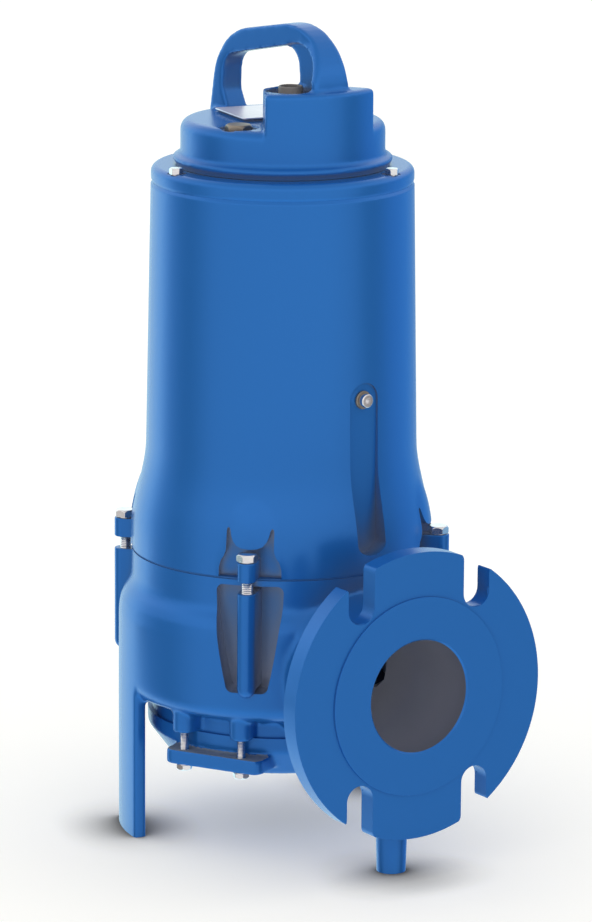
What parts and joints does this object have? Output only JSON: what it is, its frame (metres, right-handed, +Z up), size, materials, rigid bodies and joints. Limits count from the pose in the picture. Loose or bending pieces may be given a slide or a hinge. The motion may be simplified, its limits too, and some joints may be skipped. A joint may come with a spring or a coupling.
{
  "type": "submersible pump",
  "caption": "Vertical submersible sewage pump with a cylindrical motor, lifting hoop, volute casing on legs and a flanged side discharge with open bolt slots.",
  "frame": {"origin": "middle of the footprint on the floor that the two legs and the foot stand on", "axes": "+X out of the discharge flange, +Y to the left of it seen from the motor's top, +Z up along the motor's axis"},
  "size_m": [0.2924, 0.228, 0.5694],
  "materials": {
    "blue_paint": "satin blue two-part coating on cast iron",
    "stainless_steel": "bright stainless steel",
    "dull_brass": "dull, slightly brown",
    "grey_rubber": "matt grey",
    "gasket_paper": "dark pressed fibre",
    "bare_cast_iron": "bare, as cast"
  },
  "bodies": {
    "root": {"motor_housing": "blue_paint", "upper_bearing_ring": "blue_paint", "cable_entry_cap": "blue_paint", "volute_casing": "blue_paint", "bottom_plate": "blue_paint", "nameplate": "stainless_steel", "gland_nut": "stainless_steel", "gland_seal": "grey_rubber", "filler_plug": "dull_brass", "side_plug": "stainless_steel", "side_plug_washer": "dull_brass", "ring_screw_1": "stainless_steel", "ring_screw_2": "stainless_steel", "ring_screw_3": "stainless_steel", "housing_bolt_1": "stainless_steel", "housing_bolt_2": "stainless_steel", "housing_bolt_3": "stainless_steel", "housing_bolt_4": "stainless_steel", "bottom_plate_screw_1": "stainless_steel", "bottom_plate_screw_2": "stainless_steel", "bottom_plate_screw_3": "stainless_steel", "bottom_plate_screw_4": "stainless_steel", "bottom_plate_screw_5": "stainless_steel", "bottom_plate_screw_6": "stainless_steel", "casing_gasket": "gasket_paper", "oil_chamber": "bare_cast_iron", "impeller": "bare_cast_iron", "impeller_screw": "stainless_steel"}
  },
  "joints": []
}
